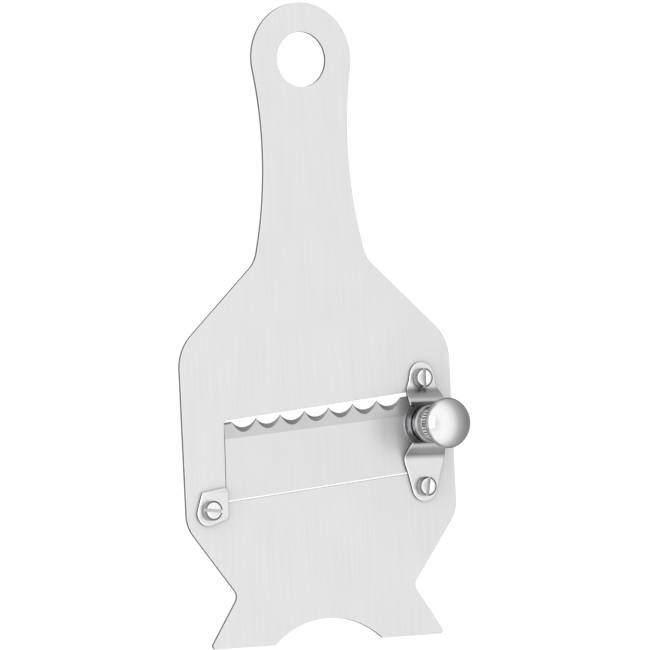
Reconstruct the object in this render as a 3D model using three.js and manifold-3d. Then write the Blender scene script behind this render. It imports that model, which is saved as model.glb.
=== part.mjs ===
// Hand-held truffle slicer: a stamped steel sheet with a slanted slot, a scalloped blade that pivots at its
// left end, and a domed knob on a threaded stud that sets how far the blade's right end stands out of the
// smooth side. Millimetres. The smooth working side lies on z = 0, the knob points along +Z, the handle
// along +Y. The origin is under the middle of the object's box.
import * as THREE from "three";
import { mergeVertices } from "three/addons/utils/BufferGeometryUtils.js";
import Module from "manifold-3d";

// ---------------------------------------------------------------- driving dimensions
const SHEET = 1.2; // thickness of the body sheet
const HALF_LENGTH = 92.5; // head to feet is 185
const HALF_WIDTH = 44.4; // widest part of the sheet
const HEAD_R = 16.25; // round end of the handle
const HOLE_R = 8.0; // hanging hole
const HOLE_Y = 76.0;
const NECK_HALF = 13.96; // slimmest part of the handle
const NECK_Y = 50.8;
const SHOULDER_ROOT = [18.24, 17.91, 8.7]; // corner x, corner y, rounding
const SHOULDER = [HALF_WIDTH, -6.4, 13.3];
const HIP = [HALF_WIDTH, -57.1, 9.8];
const WAIST = [28.8, -77.7, 2.7];
const FOOT = [38.7, -HALF_LENGTH, 1.0];
const ARCH_HALF = 17.7; // arch between the feet
const ARCH_RISE = 6.8;

const SLOT = [
  [-30.96, -27.25, 0.7],
  [-31.48, -50.78, 0.7],
  [39.9, -44.49, 2.5],
  [39.9, -20.75, 2.5],
]; // corner x, corner y, rounding

const BLADE_T = 1.0;
const BLADE_Z = 0.1; // the blade's smooth side, just inside the sheet's
const BLADE_GAP = 0.5; // to the slot's lower edge
const BLADE_END_GAP = 0.2; // to the slot's left edge
const EDGE_LEFT = [-28.16, -27.62]; // first tip of the scalloped edge
const EDGE_RIGHT = [27.81, -23.03]; // last tip
const SCALLOPS = 7;
const SCALLOP_DEPTH = 2.0;
const BEVEL_LEFT = [-30.5, -32.65]; // upper limit of the ground bevel
const BEVEL_RIGHT = [27.6, -28.69];
const BEVEL_DROP = 0.55; // ground away at the tips
const BLADE_END_X = 39.0;

const TONGUE = { x0: -34.6, x1: -30.0, y0: -50.05, y1: -47.9, z0: 0.55, z1: 0.95 };
const POCKET_GAP = 0.3;
const POCKET_FLOOR = 0.35;

const KNOB_X = 33.97; // axis of the stud
const KNOB_Y = -31.06;
const BRIDGE_TURN = -0.0145; // the strap leans a little, radians
const STRAP_T = 1.0;
const BRIDGE_TOP = 5.05; // top of the raised middle
const PAD_R = 7.2; // round pad under the nut
const UPPER = { flat: 6.6, foot: 10.2, screw: 13.4, end: 18.05, endR: 4.0 };
const LOWER = { flat: 6.0, foot: 9.3, screw: 18.25, end: 22.65, endR: 4.25 };

const SCREW_R = 1.5; // M3
const SCREW_HEAD_R = 2.85;
const SCREW_HEAD_H = 1.9;
const SCREW_SLOT_W = 0.8;
const SCREW_SLOT_D = 0.9;
const CLIP_T = 1.0;
const CLIP_SCREW = [-37.05, -52.72];
const CLIP = [
  [-39.51, -47.45, 0.9],
  [-43.44, -59.04, 3.63],
  [-31.3, -55.42, 1.4],
  [-30.93, -46.21, 1.3],
]; // corner x, corner y, rounding

const STUD_R = 2.0; // M4
const STUD_CLEAR = 0.16;
const NECK_R = 1.3; // riveted end of the stud
const RIVET_R = 2.3;
const WASHER_R = 5.6;
const WASHER_T = 0.8;
const NUT_BASE_R = 5.55; // plain band above the foot
const NUT_FOOT_R = 5.0;
const NUT_KNURL_R = 5.05;
const NUT_TOP = 13.7;
const CAP_R = 7.55;
const CAP_BASE = 16.25; // underside of the domed knob
const CAP_TOP = 21.6;
const CAP_BELLY = 15.1; // height of the dome's full radius, below its cut underside
const LAY = 0.02; // pieces that lie on each other

// ---------------------------------------------------------------- helpers
const wasm = await Module();
wasm.setup();

// A closed three.js geometry as a solid, and a solid back as a geometry.
function solid(geometry) {
  const g = geometry.index ? geometry.toNonIndexed() : geometry.clone();
  const bare = new THREE.BufferGeometry().setAttribute("position", g.getAttribute("position"));
  const merged = mergeVertices(bare, 1e-4);
  return new wasm.Manifold(
    new wasm.Mesh({
      numProp: 3,
      vertProperties: new Float32Array(merged.attributes.position.array),
      triVerts: new Uint32Array(merged.index.array),
    }),
  );
}
function geometryOf(made) {
  const mesh = made.getMesh();
  const positions = new Float32Array(mesh.numVert * 3);
  for (let i = 0; i < mesh.numVert; i++)
    for (let k = 0; k < 3; k++) positions[i * 3 + k] = mesh.vertProperties[i * mesh.numProp + k];
  const g = new THREE.BufferGeometry();
  g.setAttribute("position", new THREE.BufferAttribute(positions, 3));
  g.setIndex(new THREE.BufferAttribute(new Uint32Array(mesh.triVerts), 1));
  g.computeVertexNormals();
  return g;
}

// Corners with roundings, as points. A corner is [x, y, rounding].
function rounded(corners, step = 0.2) {
  const out = [];
  const n = corners.length;
  for (let i = 0; i < n; i++) {
    const [x, y, r] = corners[i];
    const a = corners[(i + n - 1) % n];
    const b = corners[(i + 1) % n];
    out.push(...fillet([a[0], a[1]], [x, y], [b[0], b[1]], r, step));
  }
  return out;
}
function fillet(a, p, b, r, step) {
  if (!r) return [p];
  const u = new THREE.Vector2(a[0] - p[0], a[1] - p[1]).normalize();
  const v = new THREE.Vector2(b[0] - p[0], b[1] - p[1]).normalize();
  const half = Math.acos(Math.max(-1, Math.min(1, u.dot(v)))) / 2;
  const along = r / Math.tan(half);
  const mid = u.clone().add(v).normalize();
  const c = [p[0] + (mid.x * r) / Math.sin(half), p[1] + (mid.y * r) / Math.sin(half)];
  const s = Math.atan2(p[1] + u.y * along - c[1], p[0] + u.x * along - c[0]);
  let e = Math.atan2(p[1] + v.y * along - c[1], p[0] + v.x * along - c[0]);
  while (e - s > Math.PI) e -= 2 * Math.PI;
  while (e - s < -Math.PI) e += 2 * Math.PI;
  const steps = Math.max(2, Math.ceil(Math.abs(e - s) / step));
  const out = [];
  for (let i = 0; i <= steps; i++) {
    const t = s + ((e - s) * i) / steps;
    out.push([c[0] + r * Math.cos(t), c[1] + r * Math.sin(t)]);
  }
  return out;
}
function ring(x, y, r, sides) {
  const out = [];
  for (let i = 0; i < sides; i++) {
    const t = (2 * Math.PI * i) / sides;
    out.push([x + r * Math.cos(t), y + r * Math.sin(t)]);
  }
  return out;
}
const v2 = (points) => points.map(([x, y]) => new THREE.Vector2(x, y));
function sheet(outline, holes, depth) {
  const shape = new THREE.Shape(v2(outline));
  for (const h of holes) shape.holes.push(new THREE.Path(v2(h)));
  return new THREE.ExtrudeGeometry(shape, { depth, bevelEnabled: false, steps: 1 });
}
function box(x0, x1, y0, y1, z0, z1) {
  const g = new THREE.BoxGeometry(x1 - x0, y1 - y0, z1 - z0);
  g.translate((x0 + x1) / 2, (y0 + y1) / 2, (z0 + z1) / 2);
  return g;
}
// A turned piece: profile points [radius, height] from the axis at the bottom to the axis at the top,
// or a closed ring profile, standing on +Z.
function turned(profile, sides) {
  const g = new THREE.LatheGeometry(v2(profile), sides);
  g.rotateX(Math.PI / 2);
  return g;
}

// ---------------------------------------------------------------- body sheet
function bodyOutline() {
  // Neck arc that leaves the head's circle without a kink.
  const headY = HALF_LENGTH - HEAD_R;
  const drop = headY - NECK_Y;
  const neckR = (NECK_HALF ** 2 + drop ** 2 - HEAD_R ** 2) / (2 * (HEAD_R - NECK_HALF));
  const neckX = NECK_HALF + neckR;
  const join = Math.atan2(NECK_Y - headY, neckX);
  const half = [];
  for (let i = 0; i <= 16; i++) {
    const t = Math.PI / 2 + ((join - Math.PI / 2) * i) / 16;
    half.push([HEAD_R * Math.cos(t), headY + HEAD_R * Math.sin(t)]);
  }
  const neckEnd = 22.5;
  const t0 = Math.PI + join;
  const t1 = Math.PI + Math.asin((NECK_Y - neckEnd) / neckR);
  for (let i = 1; i <= 9; i++) {
    const t = t0 + ((t1 - t0) * i) / 9;
    half.push([neckX + neckR * Math.cos(t), NECK_Y + neckR * Math.sin(t)]);
  }
  const last = half[half.length - 1];
  const corners = [[last[0], last[1], 0], SHOULDER_ROOT, SHOULDER, HIP, WAIST, FOOT, [ARCH_HALF, -HALF_LENGTH, 0]];
  for (let i = 1; i < corners.length - 1; i++)
    half.push(...fillet(corners[i - 1].slice(0, 2), corners[i].slice(0, 2), corners[i + 1].slice(0, 2), corners[i][2], 0.16));
  const archR = (ARCH_HALF ** 2 + ARCH_RISE ** 2) / (2 * ARCH_RISE);
  const archY = -HALF_LENGTH + ARCH_RISE - archR;
  const a0 = Math.asin(ARCH_HALF / archR);
  for (let i = 0; i <= 8; i++) {
    const t = a0 * (1 - i / 8);
    half.push([archR * Math.sin(t), archY + archR * Math.cos(t)]);
  }
  const mirrored = half
    .slice(1, -1)
    .reverse()
    .map(([x, y]) => [-x, y]);
  return [...half, ...mirrored];
}
const turn = ([u, v]) => [
  KNOB_X + u * Math.cos(BRIDGE_TURN) - v * Math.sin(BRIDGE_TURN),
  KNOB_Y + u * Math.sin(BRIDGE_TURN) + v * Math.cos(BRIDGE_TURN),
];
const upperScrew = turn([0, UPPER.screw]);
const lowerScrew = turn([0, -LOWER.screw]);

const plateSheet = sheet(
  bodyOutline(),
  [
    ring(0, HOLE_Y, HOLE_R, 48),
    rounded(SLOT, 0.4),
    ring(upperScrew[0], upperScrew[1], SCREW_R + 0.05, 24),
    ring(lowerScrew[0], lowerScrew[1], SCREW_R + 0.05, 24),
    ring(CLIP_SCREW[0], CLIP_SCREW[1], SCREW_R + 0.05, 24),
  ],
  SHEET,
);
const pocket = box(
  TONGUE.x0 - POCKET_GAP, -30.5, TONGUE.y0 - POCKET_GAP, TONGUE.y1 + POCKET_GAP, POCKET_FLOOR, SHEET + 1,
);
const bodyPlate = geometryOf(solid(plateSheet).subtract(solid(pocket)));

// ---------------------------------------------------------------- blade
function bladeOutline() {
  const out = [];
  const [lx, ly] = EDGE_LEFT;
  const [rx, ry] = EDGE_RIGHT;
  const slope = (ry - ly) / (rx - lx);
  const pitch = Math.hypot(rx - lx, ry - ly) / SCALLOPS;
  const ux = Math.cos(Math.atan(slope));
  const uy = Math.sin(Math.atan(slope));
  const r = ((pitch / 2) ** 2 + SCALLOP_DEPTH ** 2) / (2 * SCALLOP_DEPTH);
  const half = Math.asin(pitch / 2 / r);
  // lower left corner, lower right corner, upper right corner, then the edge from right to left
  const [tl, bl, br] = SLOT;
  const low = (x) => bl[1] + ((br[1] - bl[1]) * (x - bl[0])) / (br[0] - bl[0]) + BLADE_GAP;
  const left = (y) => bl[0] + ((tl[0] - bl[0]) * (y - bl[1])) / (tl[1] - bl[1]) + BLADE_END_GAP;
  const xBL = left(bl[1] + BLADE_GAP);
  out.push([xBL, low(xBL)], [BLADE_END_X, low(BLADE_END_X)], [BLADE_END_X, ry + slope * (BLADE_END_X - rx)]);
  for (let k = SCALLOPS; k > 0; k--) {
    const cx = lx + ux * pitch * (k - 0.5);
    const cy = ly + uy * pitch * (k - 0.5);
    const steps = 8;
    for (let i = 0; i < steps; i++) {
      const t = half - (2 * half * i) / steps;
      const along = r * Math.sin(t);
      const down = r * Math.cos(t) - (r - SCALLOP_DEPTH);
      out.push([cx + ux * along + uy * down, cy + uy * along - ux * down]);
    }
  }
  out.push([lx, ly]);
  const yTL = ly + slope * (left(ly) - lx);
  out.push([left(yTL), yTL]);
  return out;
}
const bladeSheet = solid(sheet(bladeOutline(), [ring(KNOB_X, KNOB_Y, NECK_R + 0.4, 24)], BLADE_T).translate(0, 0, BLADE_Z));
const bevelTurn = Math.atan2(BEVEL_RIGHT[1] - BEVEL_LEFT[1], BEVEL_RIGHT[0] - BEVEL_LEFT[0]);
const bevelRun = 5.2;
const bevelReach = 9;
const wedge = new THREE.ExtrudeGeometry(
  new THREE.Shape(
    v2([
      [0, 0],
      [0, 1],
      [bevelReach, 1],
      [bevelReach, (-BEVEL_DROP * bevelReach) / bevelRun],
    ]),
  ),
  { depth: 90, bevelEnabled: false, steps: 1 },
);
// The section's x runs across the blade and its y upwards; the length runs along the blade.
const wedgeFrame = new THREE.Matrix4().makeBasis(
  new THREE.Vector3(-Math.sin(bevelTurn), Math.cos(bevelTurn), 0),
  new THREE.Vector3(0, 0, 1),
  new THREE.Vector3(Math.cos(bevelTurn), Math.sin(bevelTurn), 0),
);
wedge.applyMatrix4(wedgeFrame);
wedge.translate(BEVEL_LEFT[0] - 8 * Math.cos(bevelTurn), BEVEL_LEFT[1] - 8 * Math.sin(bevelTurn), BLADE_Z + BLADE_T);
const counterbore = turned([[0, -1], [RIVET_R + 0.6, -1], [RIVET_R + 0.6, BLADE_Z + 0.6], [0, BLADE_Z + 0.6]], 32);
counterbore.translate(KNOB_X, KNOB_Y, 0);
const tongue = box(TONGUE.x0, TONGUE.x1, TONGUE.y0, TONGUE.y1, TONGUE.z0, TONGUE.z1);
const blade = geometryOf(bladeSheet.subtract(solid(wedge)).subtract(solid(counterbore)).add(solid(tongue)));

// ---------------------------------------------------------------- bridge bracket
function bridgeBracket() {
  const low = SHEET + LAY;
  const high = BRIDGE_TOP - STRAP_T;
  // side view of the strap's underside, along the strap, then the same line a thickness higher
  const under = [
    [-30, low],
    [-LOWER.foot, low],
    [-LOWER.flat, high],
    [UPPER.flat, high],
    [UPPER.foot, low],
    [26, low],
  ];
  const lean = 0.4; // the sloped walls keep the strap's thickness
  const over = [
    [26, low + STRAP_T],
    [UPPER.foot + lean, low + STRAP_T],
    [UPPER.flat + lean, BRIDGE_TOP],
    [-LOWER.flat - lean, BRIDGE_TOP],
    [-LOWER.foot - lean, low + STRAP_T],
    [-30, low + STRAP_T],
  ];
  const side = new THREE.ExtrudeGeometry(new THREE.Shape(v2([...under, ...over])), {
    depth: 20,
    bevelEnabled: false,
    steps: 1,
  });
  side.applyMatrix4(
    new THREE.Matrix4().makeBasis(new THREE.Vector3(0, 1, 0), new THREE.Vector3(0, 0, 1), new THREE.Vector3(1, 0, 0)),
  );
  side.translate(-10, 0, 0);
  // outline seen from above, right half from the upper end to the lower end
  const half = [];
  const arc = (cy, r, from, to, n) => {
    for (let i = 0; i <= n; i++) {
      const t = from + ((to - from) * i) / n;
      half.push([r * Math.sin(t), cy + r * Math.cos(t)]);
    }
  };
  arc(UPPER.end - UPPER.endR, UPPER.endR, 0, 1.35, 8);
  half.push([4.4, 12.4], [5.0, 10.5], [5.75, 8.4], [5.9, 7.3], [5.6, 5.7], [5.3, 4.6]);
  arc(0, PAD_R, Math.acos(4.25 / PAD_R), Math.PI - Math.acos(4.75 / PAD_R), 12);
  half.push([4.95, -5.1], [5.4, -5.7], [6.0, -6.6], [6.45, -8.0], [6.65, -9.3], [6.35, -11.6], [5.5, -14.2], [4.85, -16.6]);
  arc(-LOWER.end + LOWER.endR, LOWER.endR, 1.72, Math.PI, 8);
  const shift = (y) => 0.22 * Math.max(0, Math.min(1, (y - 10.2) / 3)); // the upper tab sits a little to the right
  const outline = [
    ...half,
    ...half
      .slice(1, -1)
      .reverse()
      .map(([x, y]) => [-x, y]),
  ].map(([x, y]) => [x + shift(y), y]);
  const prism = sheet(
    outline,
    [
      ring(0, UPPER.screw, SCREW_R + 0.2, 24),
      ring(0, -LOWER.screw, SCREW_R + 0.2, 24),
      ring(0, 0, STUD_R + STUD_CLEAR, 32),
    ],
    10,
  );
  return geometryOf(solid(side).intersect(solid(prism)));
}

// ---------------------------------------------------------------- screws and keeper plate
function cheeseScrew(seat) {
  // head with a small rounding at its upper rim, shank ending just inside the smooth side
  const top = seat + SCREW_HEAD_H;
  const body = solid(
    turned(
      [
        [0, 0.05],
        [SCREW_R, 0.05],
        [SCREW_R, seat],
        [SCREW_HEAD_R, seat],
        [SCREW_HEAD_R, top - 0.45],
        [SCREW_HEAD_R - 0.15, top - 0.12],
        [SCREW_HEAD_R - 0.5, top],
        [0, top],
      ],
      32,
    ),
  );
  return geometryOf(
    body.subtract(solid(box(-4, 4, -SCREW_SLOT_W / 2, SCREW_SLOT_W / 2, top - SCREW_SLOT_D, top + 1))),
  );
}
const clipLow = SHEET + LAY;
const pivotClip = sheet(
  rounded(CLIP, 0.25),
  [ring(CLIP_SCREW[0], CLIP_SCREW[1], SCREW_R + 0.2, 24)],
  CLIP_T,
).translate(0, 0, clipLow);

// ---------------------------------------------------------------- knob, nut, stud and washer
const nutLow = BRIDGE_TOP + LAY;
const nutBore = STUD_R + STUD_CLEAR;
const lockNut = turned(
  [
    [nutBore, nutLow],
    [NUT_FOOT_R, nutLow],
    [NUT_FOOT_R, nutLow + 0.5],
    [NUT_BASE_R - 0.15, nutLow + 0.5],
    [NUT_BASE_R, nutLow + 0.65],
    [NUT_BASE_R - 0.1, nutLow + 2.05],
    [5.05, nutLow + 2.45],
    [4.75, nutLow + 4.2],
    [4.6, nutLow + 4.3],
    [4.6, nutLow + 4.5],
    [NUT_KNURL_R, nutLow + 4.75],
    [NUT_KNURL_R, NUT_TOP - 0.2],
    [NUT_KNURL_R - 0.25, NUT_TOP],
    [nutBore, NUT_TOP],
    [nutBore, nutLow],
  ],
  48,
);
const domeRise = CAP_TOP - CAP_BELLY;
function capProfile() {
  const out = [[STUD_R + LAY, CAP_BASE]];
  const rim = CAP_R * Math.sqrt(1 - ((CAP_BASE + 0.4 - CAP_BELLY) / domeRise) ** 2);
  out.push([rim - 0.5, CAP_BASE]);
  for (let i = 0; i <= 12; i++) {
    const from = Math.asin((CAP_BASE + 0.4 - CAP_BELLY) / domeRise);
    const t = from + ((Math.PI / 2 - from) * i) / 12;
    out.push([i === 12 ? 0 : CAP_R * Math.cos(t), CAP_BELLY + domeRise * Math.sin(t)]);
  }
  out.push([0, CAP_TOP - 1.6], [STUD_R + LAY, CAP_TOP - 1.6], [STUD_R + LAY, CAP_BASE]);
  return out;
}
const knobCap = turned(capProfile(), 48);
const washerLow = BLADE_Z + BLADE_T + 0.2;
const washerTop = washerLow + WASHER_T;
const thrustWasher = turned(
  [
    [NECK_R + 0.1, washerLow],
    [WASHER_R, washerLow],
    [WASHER_R, washerTop],
    [NECK_R + 0.1, washerTop],
    [NECK_R + 0.1, washerLow],
  ],
  32,
);
const adjustingScrew = turned(
  [
    [0, BLADE_Z + 0.05],
    [RIVET_R, BLADE_Z + 0.05],
    [RIVET_R, BLADE_Z + 0.4],
    [NECK_R, BLADE_Z + 0.4],
    [NECK_R, washerTop + LAY],
    [STUD_R, washerTop + LAY],
    [STUD_R, CAP_TOP - 1.62],
    [0, CAP_TOP - 1.62],
  ],
  32,
);

// ---------------------------------------------------------------- the object
const steel = (color, roughness) => new THREE.MeshStandardMaterial({ color, roughness, metalness: 1 });
const part = new THREE.Group();
function place(name, geometry, material, parent = part, at = [0, 0, 0], spin = 0) {
  const mesh = new THREE.Mesh(geometry, material);
  mesh.name = name;
  mesh.position.set(...at);
  mesh.rotation.z = spin;
  parent.add(mesh);
}
place("body_plate", bodyPlate, steel(0xd4d5d6, 0.42));
place("blade", blade, steel(0xcfd1d2, 0.3));
const bridge = new THREE.Group();
bridge.position.set(KNOB_X, KNOB_Y, 0);
bridge.rotation.z = BRIDGE_TURN;
part.add(bridge);
const tabSeat = SHEET + LAY + STRAP_T + LAY;
place("bridge_bracket", bridgeBracket(), steel(0xd8d9da, 0.18), bridge);
place("bracket_screw_upper", cheeseScrew(tabSeat), steel(0xd2d3d4, 0.2), bridge, [0, UPPER.screw, 0], 1.571);
place("bracket_screw_lower", cheeseScrew(tabSeat), steel(0xd2d3d4, 0.2), bridge, [0, -LOWER.screw, 0], 1.396);
place("pivot_clip", pivotClip, steel(0xdcdddd, 0.2));
place("clip_screw", cheeseScrew(clipLow + CLIP_T + LAY), steel(0xd2d3d4, 0.2), part, [...CLIP_SCREW, 0], -0.14);
const spindle = new THREE.Group();
spindle.position.set(KNOB_X, KNOB_Y, 0);
part.add(spindle);
place("lock_nut", lockNut, steel(0xc9cacb, 0.2), spindle);
place("knob_cap", knobCap, steel(0xe4e5e6, 0.08), spindle);
place("adjusting_screw", adjustingScrew, steel(0xc4c5c6, 0.3), spindle);
place("thrust_washer", thrustWasher, steel(0xc9cacb, 0.3), spindle);

export default part;
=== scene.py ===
import math

import bmesh
import bpy
from mathutils import Matrix, Vector
from mathutils.geometry import tessellate_polygon


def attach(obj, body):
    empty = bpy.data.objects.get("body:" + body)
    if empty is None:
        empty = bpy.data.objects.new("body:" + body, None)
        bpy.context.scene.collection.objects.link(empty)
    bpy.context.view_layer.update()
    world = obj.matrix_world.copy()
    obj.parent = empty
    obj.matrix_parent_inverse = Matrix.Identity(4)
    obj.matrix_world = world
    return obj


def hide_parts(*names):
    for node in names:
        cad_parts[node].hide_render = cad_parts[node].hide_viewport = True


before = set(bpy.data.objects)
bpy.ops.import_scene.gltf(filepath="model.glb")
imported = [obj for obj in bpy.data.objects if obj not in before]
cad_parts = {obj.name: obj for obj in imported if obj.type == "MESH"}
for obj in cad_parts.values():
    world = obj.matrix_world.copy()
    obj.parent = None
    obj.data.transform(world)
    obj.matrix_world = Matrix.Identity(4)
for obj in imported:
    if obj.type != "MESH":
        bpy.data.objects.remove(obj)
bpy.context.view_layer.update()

MM = 0.001

# ------------------------------------------------------------------ dimensions, millimetres, in the frame of the solids
SHEET = 1.2
HALF_LENGTH = 92.5
HALF_WIDTH = 44.4
HEAD_R = 16.25
HOLE_R = 8.0
HOLE_Y = 76.0
NECK_HALF = 13.96
NECK_Y = 50.8
SHOULDER_ROOT = (18.24, 17.91, 8.7)
SHOULDER = (HALF_WIDTH, -6.4, 13.3)
HIP = (HALF_WIDTH, -57.1, 9.8)
WAIST = (28.8, -77.7, 2.7)
FOOT = (38.7, -HALF_LENGTH, 1.0)
ARCH_HALF = 17.7
ARCH_RISE = 6.8
SLOT = [(-30.96, -27.25, 0.7), (-31.48, -50.78, 0.7), (39.9, -44.49, 2.5), (39.9, -20.75, 2.5)]

BLADE_LOW = 0.1
BLADE_HIGH = 1.1
BLADE_GAP = 0.5
BLADE_END_GAP = 0.2
EDGE_LEFT = (-28.16, -27.62)
EDGE_RIGHT = (27.81, -23.03)
SCALLOPS = 7
SCALLOP_DEPTH = 2.0
BEVEL_LEFT = (-30.5, -32.65)
BEVEL_RIGHT = (27.6, -28.69)
BEVEL_FALL = 0.55 / 5.2
BLADE_END_X = 39.0
TONGUE = (-34.6, -30.0, -50.05, -47.9, 0.55, 0.95)
POCKET = (-34.9, -30.5, -50.35, -47.6, 0.35, 2.2)

KNOB = (33.97, -31.06)
BRIDGE_TURN = -0.0145
STRAP_T = 1.0
BRIDGE_TOP = 5.05
PAD_R = 7.2
LAY = 0.02
UPPER_SCREW = 13.4
LOWER_SCREW = -18.25
CLIP = [(-39.51, -47.45, 0.9), (-43.44, -59.04, 3.63), (-31.3, -55.42, 1.4), (-30.93, -46.21, 1.3)]
CLIP_SCREW = (-37.05, -52.72)
SCREW_R = 1.5
SCREW_HEAD_R = 2.85
SCREW_HEAD_H = 1.9


# ------------------------------------------------------------------ outlines
def fillet(a, p, b, r, step):
    if not r:
        return [(p[0], p[1])]
    u = Vector((a[0] - p[0], a[1] - p[1])).normalized()
    v = Vector((b[0] - p[0], b[1] - p[1])).normalized()
    half = math.acos(max(-1.0, min(1.0, u.dot(v)))) / 2
    along = r / math.tan(half)
    mid = (u + v).normalized()
    c = Vector((p[0], p[1])) + mid * (r / math.sin(half))
    s = math.atan2(p[1] + u.y * along - c.y, p[0] + u.x * along - c.x)
    e = math.atan2(p[1] + v.y * along - c.y, p[0] + v.x * along - c.x)
    while e - s > math.pi:
        e -= 2 * math.pi
    while e - s < -math.pi:
        e += 2 * math.pi
    n = max(2, math.ceil(abs(e - s) / step))
    return [(c.x + r * math.cos(s + (e - s) * i / n), c.y + r * math.sin(s + (e - s) * i / n)) for i in range(n + 1)]


def rounded(corners, step=0.1):
    out = []
    n = len(corners)
    for i in range(n):
        out += fillet(corners[i - 1], corners[i], corners[(i + 1) % n], corners[i][2], step)
    return out


def open_line(corners, step=0.15):
    """Corners (a, b, rounding) as an open line of points."""
    out = [(corners[0][0], corners[0][1])]
    for i in range(1, len(corners) - 1):
        out += fillet(corners[i - 1], corners[i], corners[i + 1], corners[i][2], step)
    out.append((corners[-1][0], corners[-1][1]))
    return out


def ring(x, y, r, n):
    return [(x + r * math.cos(2 * math.pi * i / n), y + r * math.sin(2 * math.pi * i / n)) for i in range(n)]


def signed_area(loop):
    return sum(loop[i - 1][0] * loop[i][1] - loop[i][0] * loop[i - 1][1] for i in range(len(loop))) / 2


def tidy(loop):
    """Drops points that repeat."""
    out = []
    for p in loop:
        if not out or math.hypot(p[0] - out[-1][0], p[1] - out[-1][1]) > 1e-4:
            out.append(p)
    if math.hypot(out[0][0] - out[-1][0], out[0][1] - out[-1][1]) < 1e-4:
        out.pop()
    return out


def inset(loop, d):
    """The loop moved to its left by d."""
    out = []
    n = len(loop)
    for i in range(n):
        p, q, s = Vector(loop[i - 1]), Vector(loop[i]), Vector(loop[(i + 1) % n])
        d0, d1 = (q - p).normalized(), (s - q).normalized()
        n0, n1 = Vector((-d0.y, d0.x)), Vector((-d1.y, d1.x))
        m = (n0 + n1) / max(0.3, 1 + n0.dot(n1))
        out.append((q.x + m.x * d, q.y + m.y * d))
    return out


# ------------------------------------------------------------------ meshes
def slab(outline, holes, low, high, edge, segments=4, rim=1):
    """A sheet with rounded rims. Side walls get material index rim."""
    bm = bmesh.new()
    loops = [tidy(outline if signed_area(outline) > 0 else outline[::-1])]
    loops += [tidy(h if signed_area(h) < 0 else h[::-1]) for h in holes]
    section = []
    for i in range(segments + 1):
        t = math.pi / 2 * i / segments
        section.append((edge * (1 - math.sin(t)), high - edge * (1 - math.cos(t))))
    section += [(d, low + high - z) for d, z in reversed(section)]
    caps = [[], []]
    for loop in loops:
        rows = [[bm.verts.new((x, y, z)) for x, y in inset(loop, d)] for d, z in section]
        for k in range(len(rows) - 1):
            for i in range(len(loop)):
                j = (i + 1) % len(loop)
                f = bm.faces.new((rows[k][i], rows[k + 1][i], rows[k + 1][j], rows[k][j]))
                f.material_index = rim if segments <= k + 1 <= 2 * segments + 1 else 0
        caps[0].append(rows[0])
        caps[1].append(rows[-1])
    for cap in caps:
        flat = [v for row in cap for v in row]
        for tri in tessellate_polygon([[v.co.copy() for v in row] for row in cap]):
            if len(set(tri)) == 3:
                bm.faces.new([flat[i] for i in tri])
    return bm


def lathe(profile, turns, closed=False, shape=None):
    """Turns (radius, height) points round +Z. shape(k, angle, radius, height) may move a point's radius."""
    bm = bmesh.new()
    rows = []
    for k, (r, z) in enumerate(profile):
        if r < 1e-6:
            rows.append([bm.verts.new((0, 0, z))])
            continue
        row = []
        for i in range(turns):
            t = 2 * math.pi * i / turns
            rr = shape(k, t, r, z) if shape else r
            row.append(bm.verts.new((rr * math.cos(t), rr * math.sin(t), z)))
        rows.append(row)
    pairs = list(zip(rows, rows[1:])) + ([(rows[-1], rows[0])] if closed else [])
    for a, b in pairs:
        for i in range(turns):
            j = (i + 1) % turns
            if len(a) == 1 and len(b) == 1:
                break
            if len(a) == 1:
                bm.faces.new((a[0], b[i], b[j]))
            elif len(b) == 1:
                bm.faces.new((a[i], a[j], b[0]))
            else:
                bm.faces.new((a[i], a[j], b[j], b[i]))
    return bm


def block(x0, x1, y0, y1, z0, z1):
    bm = bmesh.new()
    v = [bm.verts.new((x, y, z)) for z in (z0, z1) for y in (y0, y1) for x in (x0, x1)]
    for f in ((0, 2, 3, 1), (4, 5, 7, 6), (0, 1, 5, 4), (2, 6, 7, 3), (0, 4, 6, 2), (1, 3, 7, 5)):
        bm.faces.new([v[i] for i in f])
    return bm


def moved(bm, at=(0, 0, 0), spin=0.0):
    bmesh.ops.transform(bm, matrix=Matrix.Translation(at) @ Matrix.Rotation(spin, 4, "Z"), verts=bm.verts)
    return bm


KEEP = [bpy.data.materials.new("keep_" + n) for n in ("face", "rim", "third", "fourth")]


def joined(a, b, operation):
    """A boolean of two closed meshes, as a new mesh. Faces keep their material index."""
    made = []
    for bm in (a, b):
        bmesh.ops.recalc_face_normals(bm, faces=bm.faces)
        me = bpy.data.meshes.new("scratch")
        bm.to_mesh(me)
        bm.free()
        for m in KEEP:
            me.materials.append(m)
        ob = bpy.data.objects.new("scratch", me)
        bpy.context.scene.collection.objects.link(ob)
        made.append(ob)
    mod = made[0].modifiers.new("cut", "BOOLEAN")
    mod.operation = operation
    mod.solver = "EXACT"
    mod.object = made[1]
    graph = bpy.context.evaluated_depsgraph_get()
    out = bmesh.new()
    out.from_mesh(made[0].evaluated_get(graph).data)
    for ob in made:
        me = ob.data
        bpy.data.objects.remove(ob)
        bpy.data.meshes.remove(me)
    return out


def soften(bm, width, segments=2, angle=40):
    """Small bevel along every edge sharper than angle."""
    bmesh.ops.remove_doubles(bm, verts=bm.verts, dist=1e-4)
    bmesh.ops.recalc_face_normals(bm, faces=bm.faces)
    edges = [e for e in bm.edges if len(e.link_faces) == 2 and e.calc_face_angle(0) > math.radians(angle)]
    bmesh.ops.bevel(
        bm, geom=edges, offset=width, offset_type="OFFSET", segments=segments, profile=0.5,
        affect="EDGES", clamp_overlap=True, material=-1,
    )
    return bm


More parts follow.
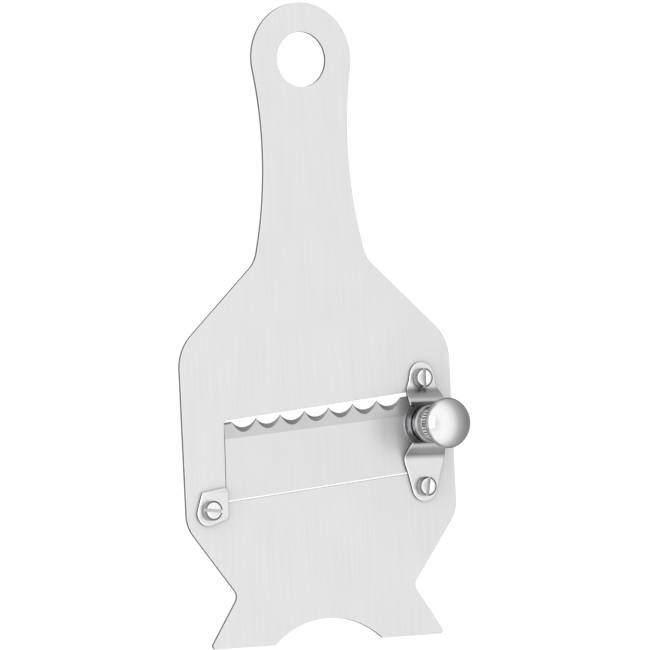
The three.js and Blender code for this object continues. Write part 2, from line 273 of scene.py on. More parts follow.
def piece(bm, name, node, body, materials, sharp=34.0):
    bmesh.ops.remove_doubles(bm, verts=bm.verts, dist=2e-5)
    bmesh.ops.recalc_face_normals(bm, faces=bm.faces)
    bmesh.ops.scale(bm, vec=(MM, MM, MM), verts=bm.verts)
    me = bpy.data.meshes.new(name)
    bm.to_mesh(me)
    bm.free()
    for m in materials:
        me.materials.append(m)
    me.polygons.foreach_set("use_smooth", [True] * len(me.polygons))
    me.set_sharp_from_angle(angle=math.radians(sharp))
    ob = bpy.data.objects.new(name, me)
    bpy.context.scene.collection.objects.link(ob)
    weighted = ob.modifiers.new("weighted normals", "WEIGHTED_NORMAL")
    weighted.mode = "FACE_AREA"
    weighted.keep_sharp = True
    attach(ob, body)
    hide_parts(node)
    return ob


# ------------------------------------------------------------------ materials
def steel(name, low, high, rough, spread, grain, bump, detail=4.0, metal=1.0):
    """Metal with drawn grain: grain gives how many lines per metre along x, y and z."""
    mat = bpy.data.materials.new(name)
    mat.use_nodes = True
    nodes, links = mat.node_tree.nodes, mat.node_tree.links
    shader = nodes["Principled BSDF"]
    shader.inputs["Metallic"].default_value = metal
    shader.inputs["Specular IOR Level"].default_value = 0.3
    where = nodes.new("ShaderNodeTexCoord")
    stretch = nodes.new("ShaderNodeMapping")
    stretch.inputs["Scale"].default_value = grain
    links.new(where.outputs["Object"], stretch.inputs["Vector"])
    fine = nodes.new("ShaderNodeTexNoise")
    fine.inputs["Scale"].default_value = 1.0
    fine.inputs["Detail"].default_value = detail
    fine.inputs["Roughness"].default_value = 0.6
    links.new(stretch.outputs["Vector"], fine.inputs["Vector"])
    cloud = nodes.new("ShaderNodeTexNoise")
    cloud.inputs["Scale"].default_value = 70.0
    cloud.inputs["Detail"].default_value = 3.0
    links.new(where.outputs["Object"], cloud.inputs["Vector"])
    blend = nodes.new("ShaderNodeMath")
    blend.operation = "MULTIPLY_ADD"
    blend.inputs[1].default_value = 0.72
    links.new(fine.outputs["Fac"], blend.inputs[0])
    part = nodes.new("ShaderNodeMath")
    part.operation = "MULTIPLY"
    part.inputs[1].default_value = 0.28
    links.new(cloud.outputs["Fac"], part.inputs[0])
    links.new(part.outputs[0], blend.inputs[2])
    ramp = nodes.new("ShaderNodeValToRGB")
    ramp.color_ramp.elements[0].position = 0.36
    ramp.color_ramp.elements[0].color = (*low, 1)
    ramp.color_ramp.elements[1].position = 0.64
    ramp.color_ramp.elements[1].color = (*high, 1)
    links.new(blend.outputs[0], ramp.inputs["Fac"])
    links.new(ramp.outputs["Color"], shader.inputs["Base Color"])
    span = nodes.new("ShaderNodeMapRange")
    span.inputs["From Min"].default_value = 0.32
    span.inputs["From Max"].default_value = 0.68
    span.inputs["To Min"].default_value = rough - spread
    span.inputs["To Max"].default_value = rough + spread
    links.new(blend.outputs[0], span.inputs["Value"])
    links.new(span.outputs["Result"], shader.inputs["Roughness"])
    if bump:
        relief = nodes.new("ShaderNodeBump")
        relief.inputs["Strength"].default_value = bump
        relief.inputs["Distance"].default_value = 0.00003
        links.new(fine.outputs["Fac"], relief.inputs["Height"])
        links.new(relief.outputs["Normal"], shader.inputs["Normal"])
    return mat


def grey(v, blue=0.006):
    return (v, v, v + blue)


def paint_shade_along(mat, levels, axis="Z"):
    """Paints shade onto a metal along one axis: levels are (millimetres, tone)."""
    nodes, links = mat.node_tree.nodes, mat.node_tree.links
    shader = nodes["Principled BSDF"]
    colour = shader.inputs["Base Color"].links[0].from_socket
    where = nodes.new("ShaderNodeTexCoord")
    split = nodes.new("ShaderNodeSeparateXYZ")
    links.new(where.outputs["Object"], split.inputs["Vector"])
    span = nodes.new("ShaderNodeMapRange")
    span.inputs["From Min"].default_value = levels[0][0] * MM
    span.inputs["From Max"].default_value = levels[-1][0] * MM
    links.new(split.outputs[axis], span.inputs["Value"])
    ramp = nodes.new("ShaderNodeValToRGB")
    stops = ramp.color_ramp.elements
    while len(stops) < len(levels):
        stops.new(0.5)
    for stop, (height, tone) in zip(stops, levels):
        stop.position = (height - levels[0][0]) / (levels[-1][0] - levels[0][0])
        stop.color = (tone, tone, tone, 1)
    links.new(span.outputs["Result"], ramp.inputs["Fac"])
    toned = nodes.new("ShaderNodeVectorMath")
    toned.operation = "MULTIPLY"
    links.new(colour, toned.inputs[0])
    links.new(ramp.outputs["Color"], toned.inputs[1])
    links.new(toned.outputs["Vector"], shader.inputs["Base Color"])


SHEET_STEEL = steel("sheet_steel", grey(0.60), grey(0.64), 0.36, 0.04, (2600, 38, 2600), 0.06, metal=0.3)
# painted shade: the plate's side walls are dark, standing in for the contact shade along its edges
SHEET_EDGE_PAINTED_SHADE = steel("sheet_edge_painted_shade", grey(0.20), grey(0.32), 0.40, 0.06, (900, 900, 5000), 0.25)
BLADE_STEEL = steel("blade_steel", grey(0.62), grey(0.65), 0.32, 0.03, (2200, 60, 2200), 0.03, metal=0.5)
# painted shade: the bevel band is darker than the blade's flat, standing in for the duller reflection it catches
BLADE_BEVEL_PAINTED_SHADE = steel("blade_bevel_painted_shade", grey(0.50), grey(0.525), 0.30, 0.01, (260, 24, 260), 0.0, metal=0.55)
# the ground crescents are rougher, and also painted dark, standing in for the shade and dark reflections they catch
BLADE_GROUND_PAINTED_SHADE = steel("blade_ground_painted_shade", grey(0.16), grey(0.28), 0.38, 0.06, (3500, 500, 3500), 0.3)
STRAP_STEEL = steel("strap_steel", grey(0.725), grey(0.765), 0.31, 0.02, (300, 300, 300), 0.0)
# painted shade: the strap's folded flanks are toned darker than its flat tabs and the top of its raised middle
# near-black, standing in for shade and dark reflections
FOLD_PAINTED_SHADE = ((2.23, 1.0), (2.45, 0.72), (2.8, 0.42), (4.2, 0.52), (4.9, 0.74), (5.01, 0.62), (5.046, 0.16))
STRAP_PAD_PAINTED_SHADE = steel("strap_pad_painted_shade", grey(0.72), grey(0.78), 0.24, 0.03, (900, 900, 5000), 0.05)
# painted shade: the side walls of the strap and keeper plate and the pad's rounded rim are near-black, standing in for
# shade and dark reflections along those edges
STRAP_EDGE_PAINTED_SHADE = steel("strap_edge_painted_shade", grey(0.05), grey(0.10), 0.28, 0.05, (900, 900, 5000), 0.2)
# painted shade: the head's side wall, the near-black bands at its seat and under its top rim, and its slot are darker
# than its top, standing in for shade and dark reflections
SCREW_SIDE_PAINTED_SHADE = steel("screw_side_painted_shade", grey(0.28), grey(0.38), 0.30, 0.06, (500, 500, 7000), 0.1)
SCREW_RIM_PAINTED_SHADE = steel("screw_rim_painted_shade", grey(0.13), grey(0.20), 0.30, 0.06, (500, 500, 7000), 0.1)
SCREW_SLOT_PAINTED_SHADE = steel("screw_slot", grey(0.50), grey(0.60), 0.30, 0.05, (700, 700, 700), 0.1)
SCREW_STEEL = steel("screw_steel", grey(0.78), grey(0.86), 0.14, 0.04, (900, 900, 4000), 0.05)
# painted shade and highlight: the nut is dark, standing in for the dark reflections it catches; its knurl tips are
# painted bright and its valleys near-black
NUT_STEEL_PAINTED_SHADE = steel("nut_steel", grey(0.27), grey(0.33), 0.16, 0.04, (500, 500, 6000), 0.06)
NUT_TEETH_PAINTED_HIGHLIGHT = steel("nut_teeth_painted_highlight", grey(0.74), grey(0.84), 0.16, 0.04, (500, 500, 6000), 0.06)
NUT_RING_PAINTED_SHADE = steel("nut_ring_painted_shade", grey(0.27), grey(0.33), 0.38, 0.04, (500, 500, 6000), 0.06)
NUT_VALLEY_PAINTED_SHADE = steel("nut_valley_painted_shade", grey(0.06), grey(0.14), 0.35, 0.05, (900, 900, 3000), 0.1)
# painted shade: the knob cap's flat underside is near-black, standing in for the shade under it
KNOB_UNDER_PAINTED_SHADE = steel("knob_under_painted_shade", grey(0.08), grey(0.13), 0.30, 0.05, (500, 500, 500), 0.1)
CHROME = steel("knob_chrome", grey(0.59), grey(0.62), 0.06, 0.02, (260, 260, 260), 0.0)


# ------------------------------------------------------------------ body sheet
def body_outline():
    head_y = HALF_LENGTH - HEAD_R
    drop = head_y - NECK_Y
    neck_r = (NECK_HALF**2 + drop**2 - HEAD_R**2) / (2 * (HEAD_R - NECK_HALF))
    neck_x = NECK_HALF + neck_r
    join = math.atan2(NECK_Y - head_y, neck_x)
    half = []
    for i in range(49):
        t = math.pi / 2 + (join - math.pi / 2) * i / 48
        half.append((HEAD_R * math.cos(t), head_y + HEAD_R * math.sin(t)))
    t0 = math.pi + join
    t1 = math.pi + math.asin((NECK_Y - 22.5) / neck_r)
    for i in range(1, 25):
        t = t0 + (t1 - t0) * i / 24
        half.append((neck_x + neck_r * math.cos(t), NECK_Y + neck_r * math.sin(t)))
    corners = [(*half[-1], 0), SHOULDER_ROOT, SHOULDER, HIP, WAIST, FOOT, (ARCH_HALF, -HALF_LENGTH, 0)]
    for i in range(1, len(corners) - 1):
        half += fillet(corners[i - 1], corners[i], corners[i + 1], corners[i][2], 0.07)
    arch_r = (ARCH_HALF**2 + ARCH_RISE**2) / (2 * ARCH_RISE)
    arch_y = -HALF_LENGTH + ARCH_RISE - arch_r
    a0 = math.asin(ARCH_HALF / arch_r)
    half += fillet((38, -HALF_LENGTH), (ARCH_HALF, -HALF_LENGTH), (ARCH_HALF - 1.2, -HALF_LENGTH + 1.3), 0.5, 0.2)
    for i in range(1, 25):
        t = a0 * (1 - i / 24)
        half.append((arch_r * math.sin(t), arch_y + arch_r * math.cos(t)))
    return half + [(-x, y) for x, y in half[-2:0:-1]]


def on_bridge(u, v):
    c, s = math.cos(BRIDGE_TURN), math.sin(BRIDGE_TURN)
    return (KNOB[0] + u * c - v * s, KNOB[1] + u * s + v * c)


upper_at = on_bridge(0, UPPER_SCREW)
lower_at = on_bridge(0, LOWER_SCREW)
plate = slab(
    body_outline(),
    [
        ring(0, HOLE_Y, HOLE_R, 112),
        rounded(SLOT, 0.12),
        ring(*upper_at, SCREW_R + 0.05, 40),
        ring(*lower_at, SCREW_R + 0.05, 40),
        ring(*CLIP_SCREW, SCREW_R + 0.05, 40),
    ],
    0.0, SHEET, 0.16,
)
plate = joined(plate, block(*POCKET), "DIFFERENCE")
piece(plate, "body_plate_sheet", "body_plate", "frame", [SHEET_STEEL, SHEET_EDGE_PAINTED_SHADE])


# ------------------------------------------------------------------ blade
def blade_mesh():
    lx, ly = EDGE_LEFT
    rx, ry = EDGE_RIGHT
    slope = (ry - ly) / (rx - lx)
    pitch_x = (rx - lx) / SCALLOPS
    half = pitch_x * math.sqrt(1 + slope * slope) / 2
    r = (half**2 + SCALLOP_DEPTH**2) / (2 * SCALLOP_DEPTH)
    tl, bl, br = SLOT[:3]

    def low(x):
        return bl[1] + (br[1] - bl[1]) * (x - bl[0]) / (br[0] - bl[0]) + BLADE_GAP

    left_low = bl[0] + BLADE_END_GAP
    left_high = tl[0] + BLADE_END_GAP
    bevel_slope = (BEVEL_RIGHT[1] - BEVEL_LEFT[1]) / (BEVEL_RIGHT[0] - BEVEL_LEFT[0])

    # stations along the blade: x at the edge, depth of the scallop there, width of the ground crescent
    stations = []
    for i in range(7):
        stations.append((left_high + (lx - left_high) * i / 7, 0.0, 0.6))
    for k in range(SCALLOPS):
        for i in range(28):
            a = -1 + 2 * i / 28
            a = math.sin(a * math.pi / 2) * 0.35 + a * 0.65
            down = math.sqrt(r * r - (a * half) ** 2) - (r - SCALLOP_DEPTH)
            tau = (a + 1) / 2
            crescent = 1.38 * math.sin(math.pi * tau**0.86) ** 0.85 if 0 < tau < 1 else 0.0
            stations.append((lx + pitch_x * (k + tau), down, crescent))
    for i in range(13):
        stations.append((rx + (BLADE_END_X - rx) * i / 12, 0.0, 0.0))

    bm = bmesh.new()
    columns = []
    span = BLADE_END_X - left_high
    for x, down, crescent in stations:
        share = (x - left_high) / span
        x_low = left_low + (BLADE_END_X - left_low) * share
        edge = ly + slope * (x - lx) - down * math.sqrt(1 + slope * slope)
        bevel = BEVEL_LEFT[1] + bevel_slope * (x - BEVEL_LEFT[0])
        grind = edge - max(crescent, 0.05)
        if grind < bevel + 0.1:
            grind = bevel + 0.1
        z_grind = BLADE_HIGH - BEVEL_FALL * (grind - bevel)
        z_edge = z_grind - 0.02 - 0.38 * min(1.0, crescent / 1.1)
        bottom = low(x_low)
        section = [
            (bottom, BLADE_LOW + 0.12), (bottom, BLADE_HIGH - 0.07), (bottom + 0.02, BLADE_HIGH - 0.02),
            (bottom + 0.07, BLADE_HIGH), (bevel - 0.07, BLADE_HIGH), (bevel + 0.07, BLADE_HIGH - BEVEL_FALL * 0.07),
            (grind - 0.02, z_grind + BEVEL_FALL * 0.02), (grind + 0.02, z_grind - 0.004),
            (edge, z_edge), (edge, BLADE_LOW + 0.04), (edge - 0.05, BLADE_LOW), (bottom + 0.12, BLADE_LOW),
        ]
        row = []
        for y, z in section:
            t = (y - bottom) / max(1e-6, edge - bottom)
            row.append(bm.verts.new((x_low + (x - x_low) * t, y, z)))
        columns.append(row)
    n = len(columns[0])
    for c in range(len(columns) - 1):
        for i in range(n):
            j = (i + 1) % n
            f = bm.faces.new((columns[c][i], columns[c + 1][i], columns[c + 1][j], columns[c][j]))
            # painted shade: faces from the grind line out to the edge over each crescent take the dark ground material,
            # the bevel band the darker bevel material
            if i in (7, 8) and max(stations[c][2], stations[c + 1][2]) > 0:
                f.material_index = 1
            elif i in (5, 6, 7):
                f.material_index = 2
    bm.faces.new(columns[0])
    bm.faces.new(columns[-1][::-1])
    return bm


blade = blade_mesh()
bore = lathe([(0, -1), (2.9, -1), (2.9, BLADE_LOW + 0.6), (1.7, BLADE_LOW + 0.6), (1.7, 3), (0, 3)], 64)
blade = joined(blade, moved(bore, (*KNOB, 0)), "DIFFERENCE")
blade = joined(blade, soften(block(*TONGUE), 0.08), "UNION")
piece(blade, "blade_scalloped", "blade", "blade", [BLADE_STEEL, BLADE_GROUND_PAINTED_SHADE, BLADE_BEVEL_PAINTED_SHADE])


# ------------------------------------------------------------------ bridge bracket
# painted shade on the strap's folds and raised middle, by height
paint_shade_along(STRAP_STEEL, FOLD_PAINTED_SHADE)
# painted shade: the pad's top is bright only along the nut's middle line and darkens toward the risers, standing in for
# shade and dark reflections
paint_shade_along(STRAP_PAD_PAINTED_SHADE, tuple((KNOB[1] + v, tone) for v, tone in ((-4.4, 0.14), (-2.8, 0.3), (-1.7, 1.0), (1.2, 1.0), (2.4, 0.3), (3.6, 0.14))), "Y")


def bridge_mesh():
    half = []

    def arc(cy, r, a, b, n):
        for i in range(n + 1):
            t = a + (b - a) * i / n
            half.append((r * math.sin(t), cy + r * math.cos(t)))

    def eased(points, per):
        """A soft line through the points."""
        out = []
        for i in range(len(points) - 1):
            p0 = Vector(points[max(0, i - 1)])
            p1, p2 = Vector(points[i]), Vector(points[i + 1])
            p3 = Vector(points[min(len(points) - 1, i + 2)])
            for k in range(per):
                t = k / per
                q = 0.5 * (2 * p1 + (p2 - p0) * t + (2 * p0 - 5 * p1 + 4 * p2 - p3) * t * t + (3 * p1 - p0 - 3 * p2 + p3) * t**3)
                out.append((q.x, q.y))
        out.append(tuple(points[-1]))
        return out

    arc(14.05, 4.0, 0, 1.35, 20)
    half += eased([half.pop(), (4.4, 12.4), (5.0, 10.5), (5.75, 8.4), (5.9, 7.3), (5.6, 5.7), (5.3, 4.6)], 5)
    arc(0, PAD_R, math.acos(4.25 / PAD_R), math.pi - math.acos(4.75 / PAD_R), 40)
    t = 1.72
    lower_start = (4.25 * math.sin(t), -18.4 + 4.25 * math.cos(t))
    half += eased(
        [
            (4.95, -5.1), (5.4, -5.7), (6.0, -6.6), (6.45, -8.0), (6.65, -9.3), (6.35, -11.6), (5.5, -14.2),
            (4.85, -16.6), lower_start,
        ],
        5,
    )
    half.pop()
    arc(-18.4, 4.25, 1.72, math.pi, 20)
    outline = half + [(-x, y) for x, y in half[-2:0:-1]]
    outline = [(x + 0.22 * max(0.0, min(1.0, (y - 10.2) / 3)), y) for x, y in outline]
    bm = slab(
        outline,
        [ring(0, UPPER_SCREW, 1.7, 40), ring(0, LOWER_SCREW, 1.7, 40), ring(0, 0, 2.16, 56)],
        -STRAP_T / 2, STRAP_T / 2, 0.28, 6,
    )
    # painted shade: on the pad the rounded rim takes the near-black edge material and the flat top the pad material
    for f in bm.faces:
        mid = f.calc_center_median()
        if mid.z > STRAP_T / 2 - 0.27 and abs(mid.y) < 5.4:
            f.material_index = 2 if mid.z > STRAP_T / 2 - 0.005 else 1
    # the middle line of the strap, seen from the side
    tab = SHEET + LAY + STRAP_T / 2
    top = BRIDGE_TOP - STRAP_T / 2
    line = open_line(
        [(-24, tab, 0), (-9.5, tab, 4.0), (-6.2, top, 2.2), (6.8, top, 2.0), (10.4, tab, 3.4), (20, tab, 0)], 0.09,
    )
    # cut the blank wherever the line turns, then fold it
    for v, _ in line[1:-1]:
        bmesh.ops.bisect_plane(bm, geom=bm.verts[:] + bm.edges[:] + bm.faces[:], plane_co=(0, v, 0), plane_no=(0, 1, 0), dist=1e-5)

    turns = []
    for i in range(len(line)):
        a = Vector(line[max(0, i - 1)])
        b = Vector(line[min(len(line) - 1, i + 1)])
        d0 = (Vector(line[i]) - a).normalized() if i else (b - a).normalized()
        d1 = (b - Vector(line[i])).normalized() if i < len(line) - 1 else d0
        d = (d0 + d1).normalized()
        turns.append(Vector((-d.y, d.x)))
    for vert in bm.verts:
        x, v, h = vert.co
        k = 0
        while k < len(line) - 2 and line[k + 1][0] < v:
            k += 1
        t = (v - line[k][0]) / (line[k + 1][0] - line[k][0])
        t = max(0.0, min(1.0, t))
        p = Vector(line[k]).lerp(Vector(line[k + 1]), t)
        nrm = turns[k].lerp(turns[k + 1], t).normalized()
        vert.co = (x, p.x + nrm.x * h, p.y + nrm.y * h)
    return bm


bridge = moved(bridge_mesh(), (*KNOB, 0), BRIDGE_TURN)
piece(bridge, "bridge_bracket_strap", "bridge_bracket", "frame", [STRAP_STEEL, STRAP_EDGE_PAINTED_SHADE, STRAP_PAD_PAINTED_SHADE])

# ------------------------------------------------------------------ keeper plate
clip = slab(
    rounded(CLIP, 0.08), [ring(*CLIP_SCREW, SCREW_R + 0.2, 40)], SHEET + LAY, SHEET + LAY + 1.0, 0.28, 6,
)
piece(clip, "pivot_clip_plate", "pivot_clip", "frame", [STRAP_STEEL, STRAP_EDGE_PAINTED_SHADE])


# ------------------------------------------------------------------ screws
def cheese_screw(seat, at, spin):
    top = seat + SCREW_HEAD_H
    line = open_line(
        [
            (0, 0.05, 0), (SCREW_R - 0.18, 0.05, 0.03), (SCREW_R, 0.23, 0.05), (SCREW_R, seat, 0.02),
            (SCREW_HEAD_R, seat, 0.1), (SCREW_HEAD_R, seat + 0.3, 0), (SCREW_HEAD_R, top - 0.2, 0.34), (SCREW_HEAD_R - 0.62, top, 0.6), (0, top, 0),
        ],
        0.2,
    )
    head = lathe(line, 72)
    # painted shade: the head's wall takes the dark side material, with near-black bands at its seat and under its top
    # rim
    for f in head.faces:
        wall = f.calc_center_median()
        if math.hypot(wall.x, wall.y) > SCREW_R + 0.5 and seat + 0.02 < wall.z < top - 0.06:
            f.material_index = 1 if seat + 0.3 < wall.z < top - 0.36 else 3
    cutter = block(-4, 4, -0.45, 0.45, top - 0.9, top + 1)
    # painted shade: the slot's faces take the darker slot material
    for f in cutter.faces:
        f.material_index = 2
    return moved(soften(joined(head, cutter, "DIFFERENCE"), 0.05, 2, 50), (*at, 0), spin)


tab_seat = SHEET + LAY + STRAP_T + LAY
piece(
    cheese_screw(tab_seat, upper_at, BRIDGE_TURN + 1.571), "bracket_screw_upper_slotted", "bracket_screw_upper",
    "frame", [SCREW_STEEL, SCREW_SIDE_PAINTED_SHADE, SCREW_SLOT_PAINTED_SHADE, SCREW_RIM_PAINTED_SHADE],
)
piece(
    cheese_screw(tab_seat, lower_at, BRIDGE_TURN + 1.396), "bracket_screw_lower_slotted", "bracket_screw_lower",
    "frame", [SCREW_STEEL, SCREW_SIDE_PAINTED_SHADE, SCREW_SLOT_PAINTED_SHADE, SCREW_RIM_PAINTED_SHADE],
)
piece(
    cheese_screw(tab_seat, CLIP_SCREW, -0.14), "clip_screw_slotted", "clip_screw", "frame", [SCREW_STEEL, SCREW_SIDE_PAINTED_SHADE, SCREW_SLOT_PAINTED_SHADE, SCREW_RIM_PAINTED_SHADE],
)

# ------------------------------------------------------------------ lock nut with a straight knurl
nut_low = BRIDGE_TOP + LAY
nut_top = 13.7
nut_line = open_line(
    [
        (2.16, nut_top, 0), (4.8, nut_top, 0.06), (5.05, nut_top - 0.2, 0.06), (5.05, nut_low + 4.75, 0.12),
        (4.6, nut_low + 4.5, 0.06), (4.6, nut_low + 4.32, 0.06), (4.75, nut_low + 4.18, 0.1), (5.05, nut_low + 2.45, 0.1),
        (5.45, nut_low + 2.05, 0.16), (5.55, nut_low + 0.65, 0.16),
        (5.4, nut_low + 0.5, 0.05), (5.0, nut_low + 0.5, 0.08), (5.0, nut_low, 0.04), (2.5, nut_low, 0.02),
        (2.16, nut_low + 0.3, 0.02), (2.16, nut_top, 0),
    ],
    0.3,
)[:-1]
TEETH = 34


def knurl(k, angle, r, z):
    depth = 0.40 * max(0.0, min(1.0, (r - 4.62) / 0.4)) if z > nut_low + 4.52 else 0.0
    wave = abs(((angle * TEETH / (2 * math.pi)) % 1.0) * 2 - 1)
    return r - depth * wave


nut = lathe(nut_line, TEETH * 6, closed=True, shape=knurl)
# painted highlight and shade: the knurl's tips get the bright copy, its valleys and the undercut below the flange the
# near-black copy, the chamfer above the flange the rough dark copy
for f in nut.faces:
    mid = f.calc_center_median()
    deep = abs(((math.atan2(mid.y, mid.x) * TEETH / (2 * math.pi)) % 1.0) * 2 - 1)
    out_r = math.hypot(mid.x, mid.y)
    if nut_low + 4.6 < mid.z and out_r > 4.4:
        f.material_index = 1 if deep > 0.5 else 2
    elif mid.z < nut_low + 0.56 and out_r > 4.9:
        f.material_index = 1
    elif nut_low + 2.08 < mid.z < nut_low + 2.46 and out_r > 5.0:
        f.material_index = 3
piece(
    moved(nut, (*KNOB, 0)), "lock_nut_knurled", "lock_nut", "lock_nut", [NUT_STEEL_PAINTED_SHADE, NUT_VALLEY_PAINTED_SHADE, NUT_TEETH_PAINTED_HIGHLIGHT, NUT_RING_PAINTED_SHADE], 42.0,
)

# ------------------------------------------------------------------ domed knob
CAP_R, CAP_BASE, CAP_BELLY, CAP_TOP = 7.55, 16.25, 15.1, 21.6
rise = CAP_TOP - CAP_BELLY
dome = [(2.02, CAP_BASE + 0.25), (2.27, CAP_BASE), (3.6, CAP_BASE), (3.75, CAP_BASE + 0.14), (6.1, CAP_BASE + 0.14), (6.25, CAP_BASE)]
start = math.asin((CAP_BASE + 0.42 - CAP_BELLY) / rise)
rim = CAP_R * math.cos(start)
dome += fillet((6.25, CAP_BASE), (rim + 0.05, CAP_BASE), (rim - 0.05, CAP_BASE + 0.8), 0.3, 0.2)
for i in range(41):
    t = start + (math.pi / 2 - start) * i / 40
    dome.append((CAP_R * math.cos(t) if i < 40 else 0.0, CAP_BELLY + rise * math.sin(t)))
dome += [(0.0, CAP_TOP - 1.6), (2.02, CAP_TOP - 1.6)]
# painted shade: the dome's chrome darkens toward its lower rim, standing in for dark reflections there
paint_shade_along(CHROME, ((16.3, 0.42), (17.2, 0.52), (18.1, 1.0)))
cap = lathe(dome, 112, closed=True)
# painted shade: the cap's flat underside takes the near-black material
for f in cap.faces:
    mid = f.calc_center_median()
    f.material_index = 1 if mid.z < CAP_BASE + 0.2 and math.hypot(mid.x, mid.y) < 6.7 else 0
piece(moved(cap, (*KNOB, 0)), "knob_cap_dome", "knob_cap", "spindle", [CHROME, KNOB_UNDER_PAINTED_SHADE], 40.0)

# ------------------------------------------------------------------ threaded stud
stud = [(0, 0.15), (2.15, 0.15), (2.3, 0.28), (2.3, 0.5), (1.3, 0.5), (1.3, 2.12), (1.75, 2.12), (2.0, 2.36)]
first = len(stud)
rows = int((19.6 - 2.4) / 0.0875)
stud += [(2.0, 2.4 + 0.0875 * i) for i in range(rows + 1)]
last = len(stud)
stud += [(2.0, 19.75), (1.8, 19.98), (0, 19.98)]


def thread(k, angle, r, z):
    if not first <= k < last:
        return r
    fade = min(1.0, (k - first) / 8, (last - 1 - k) / 8)
    wave = abs(((z / 0.7 - angle / (2 * math.pi)) % 1.0) * 2 - 1)
    return r - 0.38 * fade * max(0.0, min(1.0, wave * 1.3 - 0.15))


screw = lathe(stud, 40, shape=thread)
piece(moved(screw, (*KNOB, 0)), "adjusting_screw_thread", "adjusting_screw", "spindle", [SCREW_STEEL], 46.0)

washer_line = open_line(
    [(1.4, 1.3, 0), (5.6, 1.3, 0.18), (5.6, 2.1, 0.25), (1.4, 2.1, 0.06), (1.4, 1.3, 0)], 0.3,
)[:-1]
washer = lathe(washer_line, 96, closed=True)
piece(moved(washer, (*KNOB, 0)), "thrust_washer_ring", "thrust_washer", "thrust", [SCREW_STEEL])

# ------------------------------------------------------------------ floor
floor_mesh = bpy.data.meshes.new("floor")
floor_bm = bmesh.new()
bmesh.ops.create_grid(floor_bm, x_segments=2, y_segments=2, size=3.0)
floor_bm.to_mesh(floor_mesh)
floor_bm.free()
floor = bpy.data.objects.new("floor", floor_mesh)
floor.location = (0, 0, -0.003)
bpy.context.scene.collection.objects.link(floor)
paper = bpy.data.materials.new("floor_paper")
paper.use_nodes = True
paper_shader = paper.node_tree.nodes["Principled BSDF"]
paper_shader.inputs["Base Color"].default_value = (0.12, 0.12, 0.12, 1)
paper_shader.inputs["Roughness"].default_value = 0.9
paper_shader.inputs["Specular IOR Level"].default_value = 0.1
paper_shader.inputs["Emission Color"].default_value = (1, 1, 1, 1)
paper_shader.inputs["Emission Strength"].default_value = 0.97
floor_mesh.materials.append(paper)
floor.visible_glossy = False

# ------------------------------------------------------------------ studio light: broad and bright from the left, falling off to the right
world = bpy.data.worlds.new("studio")
bpy.context.scene.world = world
world.use_nodes = True
wn, wl = world.node_tree.nodes, world.node_tree.links
background = wn["Background"]
direction = wn.new("ShaderNodeTexCoord")
facing = wn.new("ShaderNodeVectorMath")
facing.operation = "DOT_PRODUCT"
facing.inputs[1].default_value = (1.0, 0.0, -0.35)
wl.new(direction.outputs["Generated"], facing.inputs[0])


def ramp_of(socket, levels):
    """A soft run of greys over the socket's value: levels are (value, grey)."""
    span = wn.new("ShaderNodeMapRange")
    span.inputs["From Min"].default_value = levels[0][0]
    span.inputs["From Max"].default_value = levels[-1][0]
    wl.new(socket, span.inputs["Value"])
    ramp = wn.new("ShaderNodeValToRGB")
    stops = ramp.color_ramp.elements
    while len(stops) < len(levels):
        stops.new(0.5)
    for stop, (value, level) in zip(stops, levels):
        stop.position = (value - levels[0][0]) / (levels[-1][0] - levels[0][0])
        stop.color = (level, level, level, 1)
    wl.new(span.outputs["Result"], ramp.inputs["Fac"])
    return ramp.outputs["Color"]


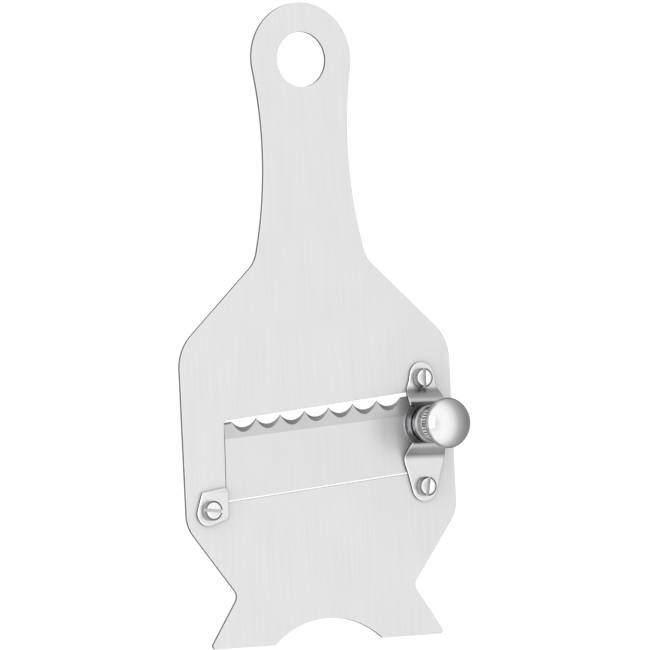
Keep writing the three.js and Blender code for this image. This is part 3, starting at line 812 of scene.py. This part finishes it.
ACROSS = (
    (-0.45, 0.96), (-0.14, 0.86), (0.0, 0.80), (0.21, 0.63), (0.44, 0.45), (0.6, 0.39), (0.7, 0.34), (0.91, 0.26), (1.06, 0.22),
)
UPWARD = ((-1.0, 0.35), (-0.8, 0.35), (-0.5, 1.0))
WALL = ((0.8, 1.0), (0.94, 0.86), (1.0, 0.84))
height = wn.new("ShaderNodeSeparateXYZ")
wl.new(direction.outputs["Generated"], height.inputs["Vector"])
beside = wn.new("ShaderNodeVectorMath")
beside.operation = "DOT_PRODUCT"
beside.inputs[1].default_value = (-0.94, 0.0, 0.34)
wl.new(direction.outputs["Generated"], beside.inputs[0])
both = wn.new("ShaderNodeVectorMath")
both.operation = "MULTIPLY"
wl.new(ramp_of(facing.outputs["Value"], ACROSS), both.inputs[0])
wl.new(ramp_of(height.outputs["Z"], UPWARD), both.inputs[1])
all_three = wn.new("ShaderNodeVectorMath")
all_three.operation = "MULTIPLY"
wl.new(both.outputs["Vector"], all_three.inputs[0])
wl.new(ramp_of(beside.outputs["Value"], WALL), all_three.inputs[1])
wl.new(all_three.outputs["Vector"], background.inputs["Color"])
background.inputs["Strength"].default_value = 1.6


def softbox(name, at, to, wide, high, radiance):
    light = bpy.data.lights.new(name, "AREA")
    light.shape = "RECTANGLE"
    light.size = wide
    light.size_y = high
    light.energy = radiance * math.pi * wide * high
    ob = bpy.data.objects.new(name, light)
    ob.location = at
    ob.rotation_euler = (Vector(to) - Vector(at)).to_track_quat("-Z", "Y").to_euler()
    bpy.context.scene.collection.objects.link(ob)


softbox("side_window", (-0.9, 0.06, 0.19), (0.0, -0.02, 0.02), 0.78, 0.56, 1.9)

# ------------------------------------------------------------------ camera
UNIT = 0.2891 * MM
FOCAL = 6425.0
turn = (
    Matrix.Rotation(math.radians(2.783), 3, "Z")
    @ Matrix.Rotation(math.radians(-0.452), 3, "X")
    @ Matrix.Rotation(math.radians(28.697), 3, "Y")
)
eye = -(turn.transposed() @ Vector((-9.51, -25.0, -FOCAL)))
cam = bpy.data.cameras.new("camera")
cam.sensor_width = 36.0
cam.lens = 36.0 * FOCAL / 650.0
cam.dof.use_dof = False
camera = bpy.data.objects.new("camera", cam)
place = Vector((eye.x * UNIT, (eye.y - 28.25) * UNIT, SHEET * MM + eye.z * UNIT))
camera.matrix_world = Matrix.Translation(place) @ turn.transposed().to_4x4()
bpy.context.scene.collection.objects.link(camera)
bpy.context.scene.camera = camera
bpy.context.scene.view_settings.view_transform = "Standard"

for m in KEEP:
    bpy.data.materials.remove(m)
